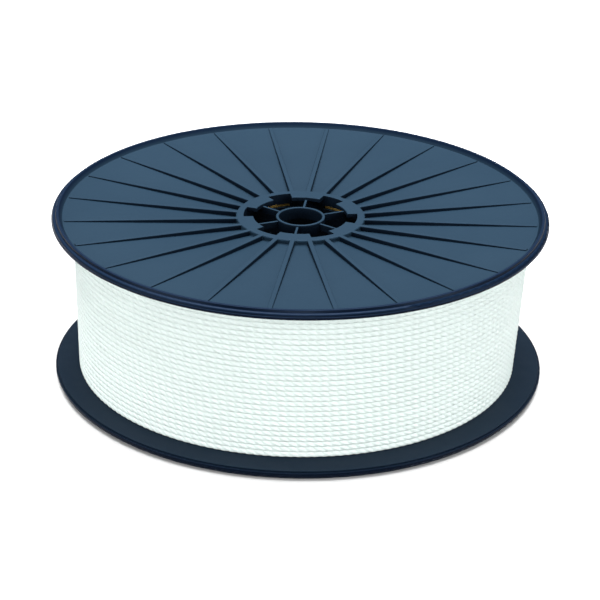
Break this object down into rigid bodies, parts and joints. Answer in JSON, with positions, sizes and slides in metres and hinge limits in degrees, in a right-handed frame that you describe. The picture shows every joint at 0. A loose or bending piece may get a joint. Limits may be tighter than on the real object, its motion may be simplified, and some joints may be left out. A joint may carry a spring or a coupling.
{
  "type": "rope supply reel",
  "caption": "Supply reel with ribbed round flanges on a core tube, wound full of white twisted pull rope, with an open spoked hub and spindle bore.",
  "frame": {"origin": "centre of the lower flange's resting plane, on the spindle axis", "axes": "+Z along the spindle axis, from the lower flange to the upper flange; +X along one spoke of the hub"},
  "size_m": [0.42, 0.42, 0.147],
  "materials": {
    "flange_plastic": "satin moulded dark navy plastic",
    "core_board": "spiral-wound brown fibreboard",
    "rope": "white three-strand twisted synthetic rope"
  },
  "bodies": {
    "root": {"lower_flange": "flange_plastic", "upper_flange": "flange_plastic", "core_tube": "core_board", "rope_inner_layers": "rope", "rope_outer_layer": "rope", "rope_inner_end": "rope", "rope_outer_end": "rope"}
  },
  "joints": []
}
